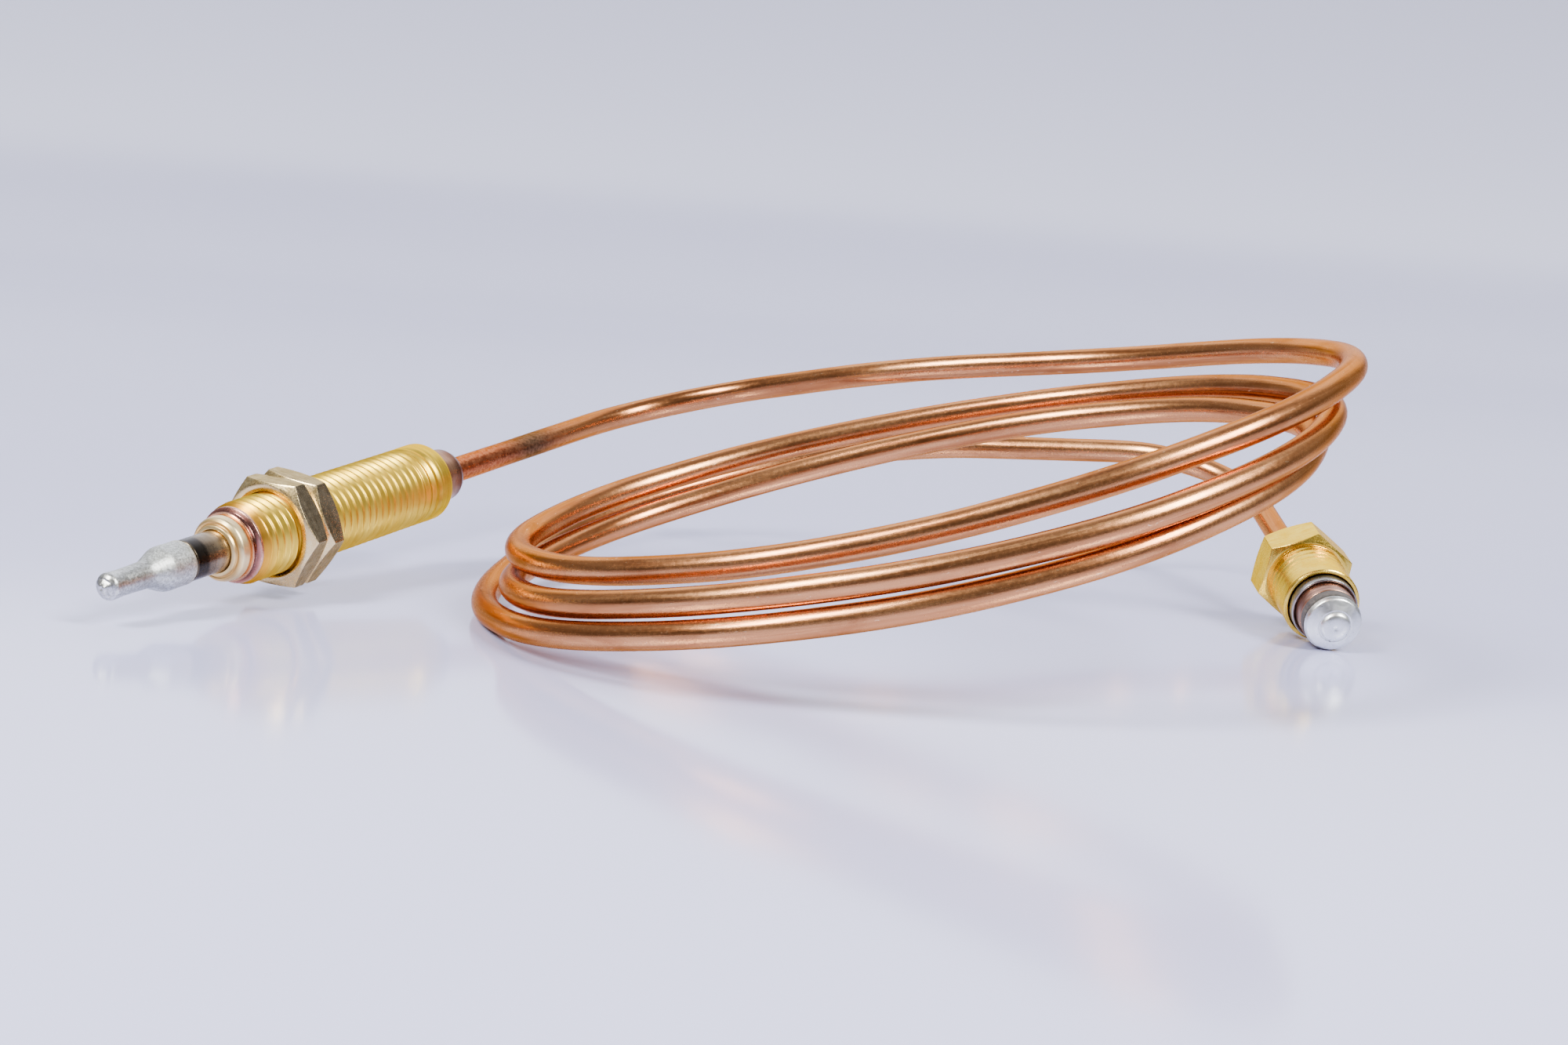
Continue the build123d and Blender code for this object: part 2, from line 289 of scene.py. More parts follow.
def turned_metal(name, light, dark, rough=(0.2, 0.36), ring=9.0, stain=None, stain_level=(0.5, 0.7),
                 edge=None, bands=None, metallic=1.0):
    """Metal off a lathe: fine rings round the axis, soft stains and a little wear.

    bands is (start, end, stops): colours along the axis that multiply the metal's own.
    """
    n = Nodes(name, metallic)
    rings = n.noise(n.coords((0.12, 0.12, ring)), 1.0, 3.0, 0.6)
    cloud = n.noise(n.coords((0.5, 0.5, 0.5)), 1.0, 5.0, 0.6, 0.4)
    specks = n.noise(n.coords((5, 5, 5)), 1.0, 3.0, 0.6)
    base = n.mix(n.ramp(rings, (0.3, 0.0), (0.7, 1.0)), dark, light)
    base = n.mix(n.math("MULTIPLY", n.ramp(cloud, (0.4, 0.0), (0.75, 1.0)), 0.5), base, dark)
    if bands:
        start, end, stops = bands
        ragged = n.math("ADD", n.share(start, end), n.math("MULTIPLY", n.math("SUBTRACT", cloud, 0.5), 0.14))
        base = n.mix(1.0, base, n.ramp(ragged, *stops), "MULTIPLY")
    if stain:
        mask = n.ramp(cloud, (stain_level[0], 0.0), (stain_level[1], 1.0))
        base = n.mix(n.math("MULTIPLY", mask, 0.7), base, stain)
    n.colour(base)
    if edge:
        n.edge(*edge)
    low, high = rough
    n.roughness(n.ramp(n.math("ADD", n.math("MULTIPLY", cloud, 0.6), n.math("MULTIPLY", specks, 0.4)),
                       (0.35, low), (0.7, high)))
    n.bump((rings, 0.25, 0.02), (specks, 0.12, 0.02))
    return n.material


# ---------------------------------------------------------------- copper lead
COIL_QUARTERS = [
    (40.0, 23.0), (40.5, 31.5), (27.0, 15.5), (37.5, 6.5),
    (29.0, 18.5), (38.5, 27.5), (32.5, 13.0), (37.5, 3.5),
    (25.0, 16.5), (37.0, 25.0), (32.5, 10.0), (40.0, 1.0),
    (41.0, 14.5), (39.0, 23.0),
]
LEAD_RADIUS = 1.3
LEAD_STEP = 0.5
PROBE_START = np.array((-45, 27.5, 10.5))
NUT_START = np.array((43, 32, 6.5))


def along_quarters(values, position):
    index = min(int(position), len(values) - 2)
    t = position - index
    before = values[max(index - 1, 0)]
    here = values[index]
    after = values[index + 1]
    beyond = values[min(index + 2, len(values) - 1)]
    return 0.5 * (
        2 * here
        + (after - before) * t
        + (2 * before - 5 * here + 4 * after - beyond) * t**2
        + (3 * here - 3 * after + beyond - before) * t**3
    )


def lead_corners():
    """The bends of the lead in the coil's own place, in mm."""
    radii = [q[0] for q in COIL_QUARTERS]
    heights = [q[1] for q in COIL_QUARTERS]
    probe = np.array(PROBE_AXIS)
    nut = np.array(NUT_AXIS)
    corners = [PROBE_START + probe * 12.5, PROBE_START - probe * 37]
    for number in range(37):
        radius = along_quarters(radii, number / 3) / cos(radians(15))
        angle = radians(90 - 30 * number)
        height = along_quarters(heights, number / 3)
        corners.append(np.array((radius * cos(angle), radius * sin(angle), height)))
    corners += [NUT_START - nut * 33, NUT_START + nut * 5.6]
    return corners


def lead_line():
    """Even points along the lead's centre, in mm: bends blended into each other as in hand-wound tube."""
    corners = lead_corners()
    ends = [PROBE_START] + corners[1:-1] + [NUT_START]
    points = [corners[0]]
    for i in range(1, len(corners) - 1):
        here = corners[i]
        back = ends[i - 1] - here
        ahead = ends[i + 1] - here
        reach = 0.45 * min(np.linalg.norm(back), np.linalg.norm(ahead))
        back = back / np.linalg.norm(back)
        ahead = ahead / np.linalg.norm(ahead)
        half = acos(np.clip(back @ ahead, -1, 1)) / 2
        radius = reach * tan(half)
        middle = (back + ahead) / np.linalg.norm(back + ahead)
        centre = here + middle * radius / sin(half)
        start = here + back * reach - centre
        end = here + ahead * reach - centre
        for t in np.linspace(0, 1, 9):
            p = start * (1 - t) + end * t
            points.append(centre + p / np.linalg.norm(p) * radius)
    points.append(corners[-1])
    points = np.array(points)
    run = np.concatenate([[0], np.cumsum(np.linalg.norm(np.diff(points, axis=0), axis=1))])
    at = np.arange(0, run[-1], LEAD_STEP)
    line = np.stack([np.interp(at, run, points[:, k]) for k in range(3)], 1)
    # more blending than this would move the tube off the insulation inside it at the tightest bend
    blend = 1.6
    reach = int(12 / LEAD_STEP)
    kernel = np.exp(-0.5 * (np.arange(-reach, reach + 1) * LEAD_STEP / blend) ** 2)
    kernel /= kernel.sum()
    head = line[0] + (line[0] - line[1]) * np.arange(reach, 0, -1)[:, None]
    tail = line[-1] + (line[-1] - line[-2]) * np.arange(1, reach + 1)[:, None]
    padded = np.concatenate([head, line, tail])
    line = np.stack([np.convolve(padded[:, k], kernel, "valid") for k in range(3)], 1)
    return line


def tube_rings(line, radius_at, segments):
    """Rings of points round a line, carried along it without twisting, and the angle of each point."""
    tangents = np.gradient(line, axis=0)
    tangents /= np.linalg.norm(tangents, axis=1)[:, None]
    side = np.cross(tangents[0], (0, 0, 1.0))
    side /= np.linalg.norm(side)
    angles = np.linspace(0, 2 * pi, segments, endpoint=False)
    rings = []
    for i, (point, tangent) in enumerate(zip(line, tangents)):
        side = side - tangent * (side @ tangent)
        side /= np.linalg.norm(side)
        other = np.cross(tangent, side)
        radius = radius_at(i)
        rings.append(point + radius * (np.cos(angles)[:, None] * side + np.sin(angles)[:, None] * other))
    return rings, angles


lead_path = lead_line()
# The lead's own place has PROBE_START 4.5 mm behind PROBE_ZERO. COIL_PLACE carries it to the frame.
COIL_PLACE = np.array(PROBE_ZERO) / MM - (PROBE_START + np.array(PROBE_AXIS) * 4.5)


def copper_material():
    """Bright drawn copper: lengthwise lines, fine scratches, brown patches and heat colours by the probe."""
    n = Nodes("copper", roughness=0.22)
    drawn = n.noise(n.coords((0.10, 7.0, 7.0), "grain"), 1.0, 4.0, 0.65)
    wide = n.noise(n.coords((0.045, 1.3, 1.3), "grain"), 1.0, 5.0, 0.6, 0.6)
    cloud = n.noise(n.coords((0.09, 0.30, 0.30), "grain"), 1.0, 5.0, 0.62, 0.8)
    specks = n.noise(n.coords((2.5, 3.0, 3.0), "grain"), 1.0, 4.0, 0.6)
    nicks = n.noise(n.coords((0.9, 5.5, 5.5), "grain"), 1.0, 2.0, 0.5, 1.5)
    base = n.mix(n.ramp(wide, (0.32, 0.0), (0.68, 1.0)), (0.45, 0.16, 0.055), (0.78, 0.37, 0.155))
    base = n.mix(n.ramp(cloud, (0.50, 0.0), (0.76, 0.75)), base, (0.30, 0.095, 0.035))
    base = n.mix(n.ramp(drawn, (0.27, 0.40), (0.42, 0.0)), base, (0.34, 0.11, 0.04))
    base = n.mix(n.ramp(nicks, (0.70, 0.0), (0.74, 0.9)), base, (1.0, 0.66, 0.38))
    tint = n.split(n.attribute("tint")["Vector"])
    red = n.mix(n.ramp(specks, (0.4, 0.0), (0.6, 1.0)), (0.42, 0.10, 0.045), (0.66, 0.22, 0.10))
    black = n.mix(n.ramp(specks, (0.38, 0.0), (0.62, 1.0)), (0.07, 0.05, 0.035), (0.22, 0.13, 0.08))
    base = n.mix(tint["Y"], base, red)
    base = n.mix(tint["X"], base, black)
    n.colour(base)
    n.edge(0.78, 0.50, 0.32)
    worn = n.math("ADD", n.math("MULTIPLY", wide, 0.5), n.math("MULTIPLY", specks, 0.5))
    worn = n.ramp(worn, (0.35, 0.20), (0.7, 0.33))
    n.roughness(n.math("ADD", worn, n.math("MULTIPLY", tint["X"], 0.15)))
    n.bump((drawn, 0.12, 0.03), (wide, 0.15, 0.05), (specks, 0.03, 0.02), (nicks, 0.20, 0.03))
    return n.material


def build_lead():
    line = lead_path + COIL_PLACE

    def radius_at(i):
        s = i * LEAD_STEP
        return LEAD_RADIUS * (1 + 0.006 * sin(s * 0.21) + 0.004 * sin(s * 0.53 + 1.3))

    segments = 28
    rings, angles = tube_rings(line, radius_at, segments)
    piece = add_piece("copper_lead_tube", skin(rings), Matrix(), ROOT, ["copper_lead"],
                      copper_material(), 60)
    mesh = piece.data
    mesh.attributes.new("grain", "FLOAT_VECTOR", "POINT")
    mesh.attributes.new("tint", "FLOAT_VECTOR", "POINT")
    count = len(rings)
    vectors = np.empty((count, segments, 3), dtype=np.float32)
    vectors[:, :, 0] = (np.arange(count) * LEAD_STEP)[:, None]
    vectors[:, :, 1] = LEAD_RADIUS * np.cos(angles)
    vectors[:, :, 2] = LEAD_RADIUS * np.sin(angles)
    mesh.attributes["grain"].data.foreach_set("vector", vectors.ravel())
    run = (np.arange(count) * LEAD_STEP)[:, None]
    tint = np.zeros((count, segments, 3), dtype=np.float32)
    # x is the scorched patch and y the reddened stretch, both just behind the probe
    tint[:, :, 0] = 0.95 * np.exp(-(((run - 22) / 4.6) ** 2))
    tint[:, :, 1] = 0.9 / (1 + np.exp((run - 26) / 2.5))
    mesh.attributes["tint"].data.foreach_set("vector", tint.ravel())


build_lead()


# ---------------------------------------------------------------- threaded sleeve
def thread_wave(turns):
    """Height of a 60 degree thread across one turn, from 0 at the root to 1 at the crest."""
    t = turns - floor(turns)
    wave = 1 - abs(2 * t - 1)
    if wave < 0.16:
        return 0.08 + 0.08 * (wave / 0.16) ** 2
    if wave > 0.84:
        return 0.84 + 0.10 * (1 - ((1 - wave) / 0.16) ** 2)
    return wave


def threaded_sleeve():
    """Turned body with a helical thread that fades in over 4 mm from its rear and runs out at its front."""
    start, end, depth = 6.2, 33.2, 0.44
    outline = [(2.35, 4.5), (2.6, 4.5), (4.0, 4.5, 0.9), (4.0, 33.4, 0.15), (3.5, 34.0), (2.1, 34.0)]
    hollow = [(2.1, 34.0), (2.02, 24.0), (2.35, 24.0), (2.35, 4.5)]
    turns = [2 * pi * k / 120 for k in range(120)]
    points_per_turn = 14

    def cut(r, z, angle):
        if z <= start or z >= end + 0.5:
            return r
        level = min(1, ((z - start) / 4) ** 0.6, (end + 0.5 - z) / 0.5)
        crest = THREAD_OUTER
        root = crest - depth * (1 - thread_wave(z - angle / (2 * pi))) * level
        return min(r, root)

    rings = []
    for p in densify(rounded(outline), 1.0 / points_per_turn):
        ring = []
        for angle in turns:
            r = cut(p.x, p.y, angle) if p.x > THREAD_OUTER - depth - 0.05 else p.x
            ring.append((r * cos(angle), r * sin(angle), p.y))
        rings.append(ring)
    for p in rounded(hollow):
        rings.append([(p.x * cos(angle), p.x * sin(angle), p.y) for angle in turns])
    rings.append(rings[0])
    bm = skin(rings)
    bmesh.ops.remove_doubles(bm, verts=bm.verts, dist=1e-5)
    return bm


THREAD_OUTER = 4.0
brass = turned_metal(
    "sleeve_brass", (0.96, 0.68, 0.09), (0.76, 0.47, 0.03), (0.30, 0.42), 5.0, (0.52, 0.31, 0.05), (0.62, 0.8),
    edge=(1.0, 0.76, 0.22),
    bands=(31.9, 34.0, [(0.0, (1.0, 1.0, 1.0)), (0.55, (0.98, 0.84, 0.80)), (1.0, (0.86, 0.60, 0.62))]),
)
add_piece("sleeve_with_thread", threaded_sleeve(), ON_PROBE, ROOT, ["threaded_sleeve"],
          brass, 50)


# ---------------------------------------------------------------- hexagon nuts
def hexagon(angle, flats, rounding=0.12):
    """Distance from the axis to a hexagon with slightly rounded corners."""
    turn = (angle + pi / 6) % (pi / 3) - pi / 6
    apothem = flats / 2
    plain = apothem / cos(pi / 6 - abs(turn))
    corner = apothem / cos(pi / 6)
    limit = corner - rounding * (1 / cos(pi / 6) - 1)
    soft = corner - rounding * 0.155 - 0.35 * (turn * corner) ** 2
    return min(plain, soft, limit) if abs(turn) < 0.06 else plain


def hex_angles():
    """Angles round a hexagon, closer together at its corners."""
    angles = []
    for side in range(6):
        base = side * pi / 3
        for offset in (-0.05, -0.03, -0.015, 0, 0.015, 0.03, 0.05):
            angles.append(base + offset)
        for k in range(1, 12):
            angles.append(base + 0.05 + (pi / 3 - 0.1) * k / 12)
    return sorted(a % (2 * pi) for a in angles)


def brass_with_painted_light(name, flat_dark, flat_light, rim_dark, rim_light, flat_rough, rim_rough, edge):
    """Brushed flats in one colour, and the lathe-cut ends and chamfers, where the "rim" attribute is 1, in
    another: the two colours are painted light and shade on one brass.
    """
    n = Nodes(name, roughness=0.28)
    rim = n.ramp(n.attribute("rim")["Fac"], (0.35, 0.0), (0.65, 1.0))
    brushed = n.noise(n.coords((0.5, 0.5, 9.0)), 1.0, 4.0, 0.6)
    cloud = n.noise(n.coords((0.8, 0.8, 0.8)), 1.0, 5.0, 0.65, 0.5)
    specks = n.noise(n.coords((6, 6, 6)), 1.0, 3.0, 0.6)
    mottle = n.math("ADD", n.math("MULTIPLY", brushed, 0.5), n.math("MULTIPLY", cloud, 0.5))
    flat = n.mix(n.ramp(mottle, (0.38, 0.0), (0.62, 1.0)), flat_dark, flat_light)
    # The rim colour and the flat colour are painted light: each stands in for how those faces catch the light,
    # not for a different finish.
    painted_rim_colour = n.mix(n.ramp(cloud, (0.35, 0.0), (0.65, 1.0)), rim_dark, rim_light)
    n.colour(n.mix(rim, flat, painted_rim_colour))
    n.edge(*edge)
    flat_level = n.ramp(specks, (0.35, flat_rough - 0.06), (0.65, flat_rough + 0.06))
    rim_level = n.ramp(specks, (0.35, rim_rough - 0.06), (0.65, rim_rough + 0.06))
    n.roughness(n.mix(rim, flat_level, rim_level))
    n.bump((brushed, 0.30, 0.03), (cloud, 0.20, 0.06), (specks, 0.10, 0.02))
    return n.material


def hex_nut(name, back, turn, body, node):
    """Hexagon nut with 30 degree chamfers, countersunk bore and softened edges, its rear at height back."""
    flats, bore, sink = 10.0, 4.04, 4.35
    face = back + 2.5
    angles = hex_angles()
    chamfer_start = 0.475 * flats
    slope = tan(radians(30))
    soft = 0.06

    def end_ring(radius, z):
        return [(radius * cos(a), radius * sin(a), z) for a in angles]

    def hex_ring(z_of, shrink=0.0):
        ring = []
        for a in angles:
            r = hexagon(a, flats) - shrink
            ring.append((r * cos(a), r * sin(a), z_of(r)))
        return ring

    def low(r):
        return back + slope * max(0, r - chamfer_start)

    def high(r):
        return face - slope * max(0, r - chamfer_start)

    def cone_ring(t, height_of):
        ring = []
        for a in angles:
            r = chamfer_start + (hexagon(a, flats) - soft - chamfer_start) * t
            ring.append((r * cos(a), r * sin(a), height_of(r)))
        return ring

    rings = [
        end_ring(bore, back + (sink - bore)),
        end_ring(sink - 0.04, back + 0.03),
        end_ring(sink + 0.05, back),
        end_ring(chamfer_start - 0.12, back),
        end_ring(chamfer_start - 0.02, back + 0.015),
    ]
    rings += [cone_ring(k / 6, low) for k in range(1, 6)]
    rings.append(hex_ring(low, soft))
    rings.append(hex_ring(lambda r: low(r) + soft * 0.3, soft * 0.25))
    flats_from = len(rings)
    rings.append(hex_ring(lambda r: low(r) + soft))
    for k in range(1, 6):
        t = k / 6
        rings.append(hex_ring(lambda r, t=t: (low(r) + soft) * (1 - t) + (high(r) - soft) * t))
    rings.append(hex_ring(lambda r: high(r) - soft))
    flats_to = len(rings)
    rings.append(hex_ring(lambda r: high(r) - soft * 0.3, soft * 0.25))
    rings.append(hex_ring(high, soft))
    rings += [cone_ring(k / 6, high) for k in range(5, 0, -1)]
    rings += [
        end_ring(chamfer_start - 0.02, face - 0.015),
        end_ring(chamfer_start - 0.12, face),
        end_ring(sink + 0.05, face),
        end_ring(sink - 0.04, face - 0.03),
        end_ring(bore, face - (sink - bore)),
    ]
    # Every ring but the flats gets "rim" 1, so the painted highlight falls on the ends and chamfers.
    marks = [0.0 if flats_from <= k < flats_to else 1.0 for k in range(len(rings))] + [1.0]
    rings.append(rings[0])
    bm = skin(rings, marks=marks)
    bmesh.ops.remove_doubles(bm, verts=bm.verts, dist=1e-5)
    bmesh.ops.rotate(bm, cent=(0, 0, 0), matrix=Matrix.Rotation(radians(turn), 3, "Z"), verts=bm.verts)
    add_piece(name, bm, ON_PROBE, body, [node], nut_metal, 24)


# Nut flats painted dark, a painted reflection of dark surroundings; ends and chamfers painted cream, a painted
# highlight.
nut_metal = brass_with_painted_light(
    "nut_brass", (0.20, 0.155, 0.09), (0.46, 0.38, 0.25), (0.88, 0.62, 0.25), (1.0, 0.80, 0.42), 0.24, 0.28,
    edge=(1.0, 0.84, 0.52),
)
hex_nut("front_nut", 26.8, 58, "front_nut", "front_lock_nut")
hex_nut("rear_nut", 24.27, 52, "rear_nut", "rear_lock_nut")


# ---------------------------------------------------------------- front of the probe
ring_metal = turned_metal(
    "collar_ring", (0.98, 0.86, 0.78), (0.80, 0.62, 0.55), (0.20, 0.38), 6.0,
    bands=(34.0, 35.2, [
        (0.0, (0.80, 0.42, 0.30)), (0.22, (0.98, 0.72, 0.58)), (0.40, (0.62, 0.30, 0.26)),
        (0.50, (0.26, 0.14, 0.12)), (0.68, (0.20, 0.11, 0.10)), (0.80, (0.50, 0.24, 0.16)),
        (1.0, (0.85, 0.52, 0.32))]),
)
add_piece("tinted_ring", lathe(densify(rounded([
    (2.05, 34.0), (3.5, 34.0), (3.66, 34.12, 0.05), (3.66, 34.38, 0.1), (3.27, 34.62, 0.15),
    (3.22, 34.85, 0.15), (3.35, 35.1, 0.08), (3.25, 35.2), (2.05, 35.2)]), 0.1)),
    ON_PROBE, ROOT, ["collar_ring"], ring_metal)

collar_metal = turned_metal(
    "braze_collar", (1.0, 0.88, 0.60), (0.93, 0.74, 0.42), (0.30, 0.46), 3.0,
    bands=(35.2, 36.95, [
        (0.0, (0.72, 0.40, 0.24)), (0.10, (0.96, 0.78, 0.50)), (0.22, (1.0, 0.94, 0.76)),
        (0.62, (1.0, 0.95, 0.80)), (0.78, (0.80, 0.60, 0.32)), (0.92, (0.96, 0.86, 0.62))]),
)


def lumpy(amount, waves=3):
    def radius(r, z, angle):
        wobble = sin(waves * angle + z * 2.1) * 0.5 + sin((waves + 4) * angle - z * 3.3 + 1.2) * 0.3
        return r * (1 + amount * wobble)
    return radius


add_piece("braze", lathe(densify(rounded([
    (2.05, 35.2), (3.05, 35.2), (3.12, 35.5, 0.2), (3.08, 36.2, 0.45), (2.75, 36.62, 0.16), (2.52, 36.5, 0.08),
    (2.40, 36.82, 0.10), (2.10, 36.92, 0.08), (2.01, 36.75)]), 0.06),
    radius_of=lumpy(0.005)), ON_PROBE, ROOT, ["braze_collar"], collar_metal)

sheath_metal = turned_metal(
    "element_sheath", (0.98, 0.92, 0.80), (0.55, 0.48, 0.38), (0.20, 0.38), 2.0,
    bands=(36.7, 41.3, [
        (0.0, (0.90, 0.74, 0.46)), (0.12, (0.62, 0.50, 0.34)), (0.40, (0.36, 0.30, 0.23)),
        (0.60, (0.24, 0.205, 0.165)),
        (0.70, (0.05, 0.045, 0.04)), (0.94, (0.035, 0.032, 0.03)), (1.0, (0.16, 0.14, 0.11))]),
)
add_piece("dark_sheath", lathe(densify(rounded([
    (1.66, 34.0), (1.99, 34.0), (1.99, 41.2, 0.08), (1.9, 41.3), (1.66, 41.3)]), 0.3)),
    ON_PROBE, ROOT, ["element_sheath"], sheath_metal)


def tip_material():
    """Matt, speckled silver: pitted on the bulge, ground bright at the nose, a pale heat line at the back."""
    n = Nodes("hot_tip", roughness=0.34)
    cloud = n.noise(n.coords((0.7, 0.7, 0.7)), 1.0, 5.0, 0.65, 0.6)
    specks = n.noise(n.coords((4.5, 4.5, 4.5)), 1.0, 5.0, 0.7)
    long = n.noise(n.coords((3.0, 3.0, 0.25)), 1.0, 4.0, 0.6)
    base = n.mix(n.ramp(specks, (0.36, 0.0), (0.60, 1.0)), (0.34, 0.34, 0.31), (0.80, 0.81, 0.78))
    base = n.mix(n.ramp(cloud, (0.50, 0.0), (0.72, 0.6)), base, (0.42, 0.40, 0.35))
    base = n.mix(n.ramp(long, (0.30, 0.4), (0.45, 0.0)), base, (0.30, 0.30, 0.28))
    ragged = n.math("ADD", n.share(41.3, 51.9), n.math("MULTIPLY", n.math("SUBTRACT", cloud, 0.5), 0.05))
    tone = n.ramp(ragged, (0.0, (1.0, 0.90, 0.68)), (0.035, (0.95, 0.92, 0.82)), (0.09, (0.90, 0.91, 0.90)),
                  (0.40, (0.92, 0.94, 0.93)), (0.55, (0.72, 0.73, 0.72)), (0.85, (0.86, 0.87, 0.86)),
                  (0.93, (1.0, 1.0, 1.0)))
    n.colour(n.mix(1.0, base, tone, "MULTIPLY"))
    rough = n.ramp(n.share(41.3, 51.9), (0.0, 0.48), (0.35, 0.46), (0.6, 0.40), (0.92, 0.32))
    n.roughness(n.math("ADD", rough, n.math("MULTIPLY", n.math("SUBTRACT", specks, 0.5), 0.25)))
    n.bump((specks, 0.40, 0.05), (cloud, 0.30, 0.15), (long, 0.20, 0.04))
    return n.material


tip_metal = tip_material()
add_piece("necked_tip", lathe(densify(rounded([
    (1.66, 41.32), (1.9, 41.3), (2.1, 41.55, 0.2), (2.1, 44.3, 1.8), (1.27, 46.3, 2.2), (1.20, 49.6, 6),
    (1.30, 51.05, 0.9), (0.9, 51.42, 0.25), (0, 51.42)]), 0.12),
    radius_of=lumpy(0.008, 2)), ON_PROBE, ROOT, ["hot_tip"], tip_metal)


def weld_radius(r, z, angle):
    return r * (1 + 0.10 * sin(3 * angle + 0.6) + 0.05 * sin(5 * angle))


def weld_bead():
    """A low dome with three small pimples and a dimple between them, each as (x, y, lift, spread)."""
    radius = 0.86
    pimples = (
        (0.30, 0.12, 0.07, 0.16), (-0.22, 0.28, 0.06, 0.13), (-0.05, -0.30, 0.06, 0.15), (0, 0, -0.08, 0.13),
    )
    dome = [Vector((radius * t, 51.40 + 0.40 * (1 - t**2))) for t in np.linspace(1, 0, 14)]
    bm = lathe(dome, 48, weld_radius)
    for vert in bm.verts:
        for x, y, lift, spread in pimples:
            vert.co.z += lift * exp(-((vert.co.x - x) ** 2 + (vert.co.y - y) ** 2) / spread**2)
    return bm


add_piece("tip_weld_bead", weld_bead(), ON_PROBE, ROOT, ["tip_weld"], tip_metal)

ferrule_metal = turned_metal(
    "ferrule", (0.98, 0.90, 0.80), (0.62, 0.48, 0.40), (0.26, 0.42), 2.0,
    bands=(0.7, 4.6, [
        (0.0, (0.16, 0.075, 0.05)), (0.22, (0.24, 0.12, 0.08)), (0.42, (0.50, 0.31, 0.20)),
        (0.75, (0.56, 0.36, 0.24)), (1.0, (0.34, 0.16, 0.10))]),
)


def crimped(r, z, angle):
    """Six shallow dents round the ferrule; its bore stays round."""
    if r < 2.0:
        return r
    press = exp(-((z - 2.3) / 0.8) ** 2)
    return r - 0.08 * press * (0.5 + 0.5 * cos(6 * angle)) ** 2


add_piece("crimped_ferrule", lathe(densify(rounded([
    (1.31, 0.9), (1.5, 0.72, 0.1), (2.35, 0.7, 0.25), (2.7, 1.4, 0.4), (2.7, 4.52), (1.31, 4.52)]), 0.15),
    radius_of=crimped), ON_PROBE, ROOT, ["rear_ferrule"], ferrule_metal)


# ---------------------------------------------------------------- union nut and its contact
# Gold flats; the rear face, rear chamfer and the bore's rear, where "rim" is 1, are painted dark taupe:
# painted shade.
union_metal = brass_with_painted_light(
    "union_brass", (0.84, 0.52, 0.05), (1.0, 0.73, 0.14), (0.16, 0.125, 0.07), (0.34, 0.27, 0.16), 0.24, 0.30,
    edge=(1.0, 0.76, 0.28),
)


def union_body():
    """Hexagon that runs into a round male end with a shallow thread."""
    flats = 9.0
    angles = hex_angles()
    chamfer = 0.475 * flats
    slope = tan(radians(30))
    soft = 0.06
    hex_end = 4.5
    thread_depth = 0.05

    def circle(radius, z):
        return [(radius * cos(a), radius * sin(a), z) for a in angles]

    def hex_at(height_of):
        out = []
        for a in angles:
            r = hexagon(a, flats)
            out.append((r * cos(a), r * sin(a), height_of(r)))
        return out

    def cone(t, low):
        out = []
        for a in angles:
            r = chamfer + (hexagon(a, flats) - soft - chamfer) * t
            rise = slope * (r - chamfer)
            out.append((r * cos(a), r * sin(a), rise if low else hex_end - rise))
        return out

    def low(r):
        return slope * (r - chamfer) + soft

    def high(r):
        return hex_end - low(r)

    rings = [circle(1.45, 0.35), circle(1.75, 0.02), circle(1.85, 0), circle(chamfer - 0.12, 0)]
    rings += [cone(t, True) for t in (0.02, 0.25, 0.5, 0.75, 1.0)]
    for t in (0, 0.2, 0.4, 0.6, 0.8, 1):
        rings.append(hex_at(lambda r, t=t: low(r) * (1 - t) + high(r) * t))
    rings += [cone(t, False) for t in (1.0, 0.75, 0.5, 0.25, 0.02)]
    rings.append(circle(chamfer - 0.1, hex_end))
    rings.append(circle(4.02, hex_end))
    z = hex_end + 0.02
    while z < 10.7:
        level = max(0, min(1, (z - hex_end - 0.1) / 0.4, (8.6 - z) / 1.2))
        ring = []
        for a in angles:
            r = THREAD_OUTER - thread_depth * level * (1 - thread_wave(z - a / (2 * pi)))
            ring.append((r * cos(a), r * sin(a), z))
        rings.append(ring)
        z += 0.09
    mouth = (
        (4.0, 10.75), (3.96, 10.9), (3.88, 10.98), (3.78, 11.0), (3.62, 11.0), (3.57, 10.96), (3.55, 10.88),
    )
    rings += [circle(*p) for p in mouth]
    rings += [circle(3.55, 3.4), circle(1.45, 3.4), rings[0]]
    # The rear face and chamfer rings and the bore's rear get "rim" 1, which union_metal paints as shade.
    marks = [1.0] * 9 + [0.0] * (len(rings) - 11) + [1.0, 1.0]
    bm = skin(rings, marks=marks)
    bmesh.ops.remove_doubles(bm, verts=bm.verts, dist=1e-5)
    bmesh.ops.rotate(bm, cent=(0, 0, 0), matrix=Matrix.Rotation(radians(23), 3, "Z"), verts=bm.verts)
    return bm


add_piece("union_nut_body", union_body(), ON_NUT, "union", ["union_nut"], union_metal, 28)

grey_metal = turned_metal("seat_ring", (0.52, 0.50, 0.48), (0.22, 0.21, 0.20), (0.22, 0.38), 4.0)
add_piece("grey_ring", lathe(densify(rounded([
    (3.07, 11.1), (3.45, 11.1), (3.45, 12.25, 0.12), (3.3, 12.3, 0.08), (3.08, 12.1), (3.07, 11.1)]), 0.2)),
    ON_NUT, ROOT, ["seat_ring"], grey_metal)

cup_metal = turned_metal(
    "cup_copper", (0.62, 0.34, 0.22), (0.26, 0.12, 0.08), (0.24, 0.42), 4.0, (0.16, 0.08, 0.06), (0.5, 0.7))
add_piece("end_cup", lathe(densify(rounded([
    (2.6, 5.65), (3.05, 5.62), (3.05, 13.98, 0.12), (2.6, 14.0)]), 0.3)),
    ON_NUT, ROOT, ["copper_cup"], cup_metal)

